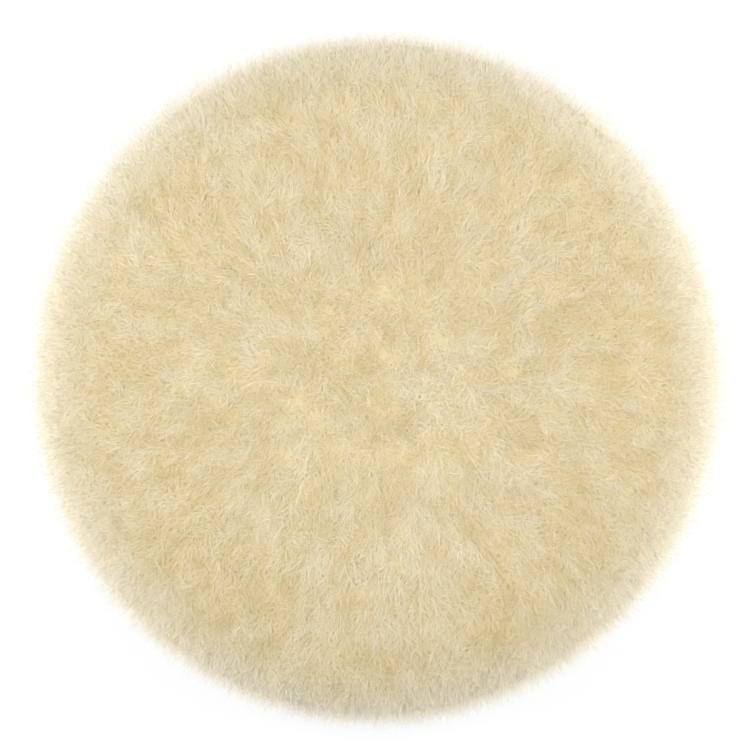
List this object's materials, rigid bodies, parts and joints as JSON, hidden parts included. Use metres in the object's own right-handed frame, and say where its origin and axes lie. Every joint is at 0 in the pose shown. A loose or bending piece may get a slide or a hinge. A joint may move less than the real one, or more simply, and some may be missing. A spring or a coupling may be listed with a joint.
{
  "type": "polishing pad",
  "caption": "Round lambswool polishing pad, wool lying outwards and rolled over a foam-cushioned edge, with a sewn hook-and-loop back.",
  "frame": {"origin": "centre of the loop face, on the plane that meets the machine's hook plate, with the pad lying on its back", "axes": "+Z out of the wool's crown, which is the pad's axis of spin; X and Y lie in the loop face and are alike"},
  "size_m": [0.19, 0.19, 0.039],
  "materials": {
    "lambswool": "natural cream wool, matt with a soft sheen",
    "tanned_hide": "undyed suede",
    "face_glue": "thin milky film",
    "foam": "open-cell foam",
    "back_glue": "thin milky film",
    "canvas": "plain weave",
    "loop_glue": "thin milky film",
    "loop_fabric": "brushed loops, off-white",
    "binding_tape": "ribbed woven tape",
    "outer_thread": "twisted thread",
    "inner_thread": "twisted thread"
  },
  "bodies": {
    "root": {"wool_pile": "lambswool", "sheepskin_hide": "tanned_hide", "face_glue_film": "face_glue", "foam_core": "foam", "back_glue_film": "back_glue", "backing_canvas": "canvas", "loop_glue_film": "loop_glue", "loop_fabric": "loop_fabric", "edge_binding": "binding_tape", "needle_thread": "outer_thread", "bobbin_thread": "inner_thread"}
  },
  "joints": []
}
